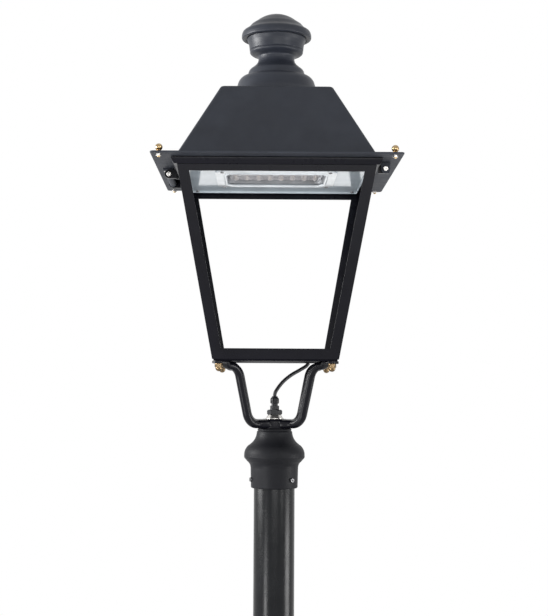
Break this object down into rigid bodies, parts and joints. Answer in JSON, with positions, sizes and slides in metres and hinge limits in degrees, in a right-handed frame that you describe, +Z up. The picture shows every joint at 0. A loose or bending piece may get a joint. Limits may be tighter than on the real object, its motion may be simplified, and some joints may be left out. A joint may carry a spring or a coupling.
{
  "type": "garden light",
  "caption": "Square tapered lantern with a hinged pyramid roof, chimney, LED ceiling and curved cradle, on a round post with a base plate.",
  "frame": {"origin": "centre of the underside of the base plate", "axes": "+Z up along the post, -Y towards the front, +X to the right seen from the front; the roof's hinge is on the -X side"},
  "size_m": [0.44, 0.44, 2.0065],
  "materials": {
    "frame_black": "semi-gloss powder coat",
    "post_black": "orange-peel powder coat",
    "collar_grey": "matt textured powder coat",
    "roof_slate": "matt fine-textured powder coat",
    "chimney_black": "satin powder coat",
    "stainless": "bright",
    "brass": "polished",
    "gland_plastic": "moulded",
    "rubber": "matt",
    "lead_sheath": "satin",
    "tray_grey": "gloss paint",
    "heatsink": "cast",
    "board_white": "solder mask",
    "lens_clear": "clear moulding",
    "driver_white": "moulded"
  },
  "bodies": {
    "root": {"base_plate": "post_black", "post": "post_black", "collar": "collar_grey", "set_screws": "stainless", "cradle": "frame_black", "hub_nipple": "stainless", "hub_washer": "stainless", "hub_nut": "gland_plastic", "gland_body": "gland_plastic", "gland_dome_nut": "gland_plastic", "gland_seal": "rubber", "supply_lead": "lead_sheath", "lead_grommet": "rubber", "bottom_plate": "frame_black", "bottom_ring": "frame_black", "corner_post_1": "frame_black", "corner_post_2": "frame_black", "corner_post_3": "frame_black", "corner_post_4": "frame_black", "top_ring": "frame_black", "cradle_studs": "stainless", "stud_washers": "brass", "acorn_nuts": "brass", "reflector_tray": "tray_grey", "tray_screws": "stainless", "led_bezel": "tray_grey", "bezel_screws": "stainless", "led_housing": "heatsink", "led_board": "board_white", "lens_plate": "lens_clear", "gear_plate": "heatsink", "driver": "driver_white", "hinge_pin": "stainless", "pin_clip": "stainless"},
    "cover": {"roof_cover": "roof_slate", "roof_gasket": "rubber", "hinge_leaf": "roof_slate", "leaf_screws": "stainless", "latch_ear": "roof_slate", "lock_screw": "stainless", "chimney": "chimney_black", "chimney_cap": "chimney_black", "tie_rod": "stainless", "tie_nut": "stainless", "corner_balls": "brass", "ball_nuts": "stainless"}
  },
  "joints": [
    {"name": "cover_hinge", "type": "hinge", "parent": "root", "child": "cover", "pos_m": [-0.1975, 0, 1.69], "axis": [0, -1, 0], "range_deg": [0, 95]}
  ]
}
